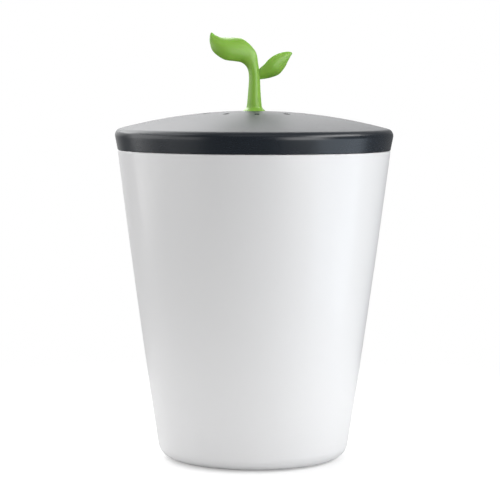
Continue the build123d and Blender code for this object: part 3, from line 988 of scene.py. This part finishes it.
# Camera. It stands where the photograph was taken: 1.36 m in front and just above the lid, with
# a long lens, and turned three degrees to the left of the bin's front.
camera_distance = 1.3648
camera_height = 0.2596
target_height = 0.1431
camera_side = -0.00255
camera_turn = radians(-3)
camera_roll = 0.0037
focal_pixels = 1992.9
frame_pixels = 500
sensor_width = 36
photo_lens = bpy.data.cameras.new("photo_lens")
photo_lens.sensor_width = sensor_width
photo_lens.lens = focal_pixels / frame_pixels * sensor_width
photo_camera = bpy.data.objects.new("photo_camera", photo_lens)
bpy.context.scene.collection.objects.link(photo_camera)
about_bin = Matrix.Rotation(camera_turn, 3, "Z")
eye = about_bin @ Vector((camera_side, -camera_distance, camera_height))
target = about_bin @ Vector((camera_side, 0, target_height))
aim = (target - eye).to_track_quat("-Z", "Y")
photo_camera.rotation_mode = "QUATERNION"
photo_camera.location = eye
photo_camera.rotation_quaternion = aim @ Matrix.Rotation(camera_roll, 3, "Z").to_quaternion()
bpy.context.scene.camera = photo_camera


# Studio. Soft boxes stand on the right, where the key is, on the left and over the back, with a
# faint one over the front. The bin stands on white paper that keeps its shadow and is clear past
# its edge and from below, and a large white card behind it shows in the gloss.
def toward(azimuth, elevation):
    """A direction from the bin. Azimuth 0 is the front and 90 degrees is the right."""
    return Vector((sin(azimuth) * cos(elevation), -cos(azimuth) * cos(elevation), sin(elevation)))


def softbox(name, azimuth, elevation, distance, size, brightness, tint=(1, 1, 1)):
    """A rectangular lamp that faces the bin, at degrees from the camera's side. Its strength
    follows its size, so that brightness is how bright its face looks."""
    lamp = bpy.data.lights.new(name, "AREA")
    lamp.shape = "RECTANGLE"
    width, height = size
    lamp.size, lamp.size_y = width, height
    lamp.energy = brightness * pi * width * height
    lamp.color = tint
    box = bpy.data.objects.new(name, lamp)
    bpy.context.scene.collection.objects.link(box)
    out = toward(radians(azimuth) + camera_turn, radians(elevation))
    box.location = Vector((0, 0, target_height)) + out * distance
    box.rotation_mode = "QUATERNION"
    box.rotation_quaternion = (-out).to_track_quat("-Z", "Y")


cool_tint = (0.87, 0.98, 1.1)
softbox("right_key_box", 76, 36, distance=1.3, size=(1.1, 0.38), brightness=5.2)
softbox("right_low_box", 76, -10, distance=0.8, size=(0.7, 0.28), brightness=1.4, tint=cool_tint)
softbox("right_fill", 41, 8, distance=1.3, size=(0.8, 0.9), brightness=3.0)
softbox("left_box", -98, 8, distance=1.3, size=(1.0, 0.9), brightness=1.6)
softbox("left_fill", -60, 4, distance=1.3, size=(0.8, 0.9), brightness=1.1)
softbox("left_high_box", -100, 46, distance=1.4, size=(1.3, 0.7), brightness=1.5)
softbox("back_left_box", -146, 34, distance=1.6, size=(1.0, 0.9), brightness=3.8)
softbox("back_box", 180, 38, distance=1.6, size=(0.9, 0.9), brightness=3.2)
softbox("front_high_box", 10, 56, distance=1.6, size=(1.5, 0.8), brightness=0.4)

paper_radius = 0.5
paper_white = (0.75, 0.75, 0.75)
paper_lift = 0.4
paper_fade_start = 0.36 * paper_radius
paper_fade_end = 0.98 * paper_radius


def studio_floor():
    """A disc of white paper that is lifted to white for the camera, and fades out to clear."""
    shape = bmesh.new()
    bmesh.ops.create_circle(shape, cap_ends=True, segments=96, radius=paper_radius)
    floor = made("studio_floor", shape)
    material, tree, shader = blank_material("white_floor")
    tree.nodes.remove(shader)
    paper = tree.nodes.new("ShaderNodeBsdfDiffuse")
    paper.inputs["Color"].default_value = (*paper_white, 1)
    lift = tree.nodes.new("ShaderNodeEmission")
    seen = tree.nodes.new("ShaderNodeLightPath").outputs["Is Camera Ray"]
    feed(tree, lift.inputs["Strength"], reckoned(tree, "MULTIPLY", seen, paper_lift))
    lifted = tree.nodes.new("ShaderNodeAddShader")
    tree.links.new(paper.outputs[0], lifted.inputs[0])
    tree.links.new(lift.outputs[0], lifted.inputs[1])
    clear = tree.nodes.new("ShaderNodeBsdfTransparent")
    reach = tree.nodes.new("ShaderNodeVectorMath")
    reach.operation = "LENGTH"
    feed(tree, reach.inputs[0], place_on_piece(tree))
    fade = mapped(tree, reach.outputs["Value"], paper_fade_start, paper_fade_end, smooth=True)
    under = tree.nodes.new("ShaderNodeNewGeometry").outputs["Backfacing"]
    mixed = tree.nodes.new("ShaderNodeMixShader")
    feed(tree, mixed.inputs["Fac"], reckoned(tree, "MAXIMUM", fade, under))
    tree.links.new(lifted.outputs[0], mixed.inputs[1])
    tree.links.new(clear.outputs[0], mixed.inputs[2])
    tree.links.new(mixed.outputs[0], tree.nodes["Material Output"].inputs["Surface"])
    finish_with(floor, material)
    return floor


studio_floor()

room_brightness = 0.2
card_azimuth = radians(193)
card_elevation = radians(30)
card_edge = radians(46)
card_middle = radians(18)


def studio_world():
    """White to the camera, a white card in reflections, and a dimmer room as a light."""
    world = bpy.data.worlds.new("white_room")
    world.use_nodes = True
    tree = world.node_tree
    room = tree.nodes["Background"]
    room.inputs["Color"].default_value = (1, 1, 1, 1)
    room.inputs["Strength"].default_value = room_brightness
    white = tree.nodes.new("ShaderNodeBackground")
    white.inputs["Color"].default_value = (1, 1, 1, 1)
    facing = tree.nodes.new("ShaderNodeVectorMath")
    facing.operation = "DOT_PRODUCT"
    facing.inputs[1].default_value = toward(card_azimuth, card_elevation)
    feed(tree, facing.inputs[0], tree.nodes.new("ShaderNodeTexCoord").outputs["Generated"])
    card = mapped(tree, facing.outputs["Value"], cos(card_edge), cos(card_middle), smooth=True)
    ray = tree.nodes.new("ShaderNodeLightPath").outputs
    share = reckoned(tree, "MULTIPLY_ADD", ray["Is Glossy Ray"], card, ray["Is Camera Ray"])
    share = reckoned(tree, "ADD", share, ray["Is Transmission Ray"])
    share.node.use_clamp = True
    mixed = tree.nodes.new("ShaderNodeMixShader")
    feed(tree, mixed.inputs["Fac"], share)
    tree.links.new(room.outputs[0], mixed.inputs[1])
    tree.links.new(white.outputs[0], mixed.inputs[2])
    tree.links.new(mixed.outputs[0], tree.nodes["World Output"].inputs["Surface"])
    bpy.context.scene.world = world


studio_world()
bpy.context.scene.view_settings.view_transform = "Standard"
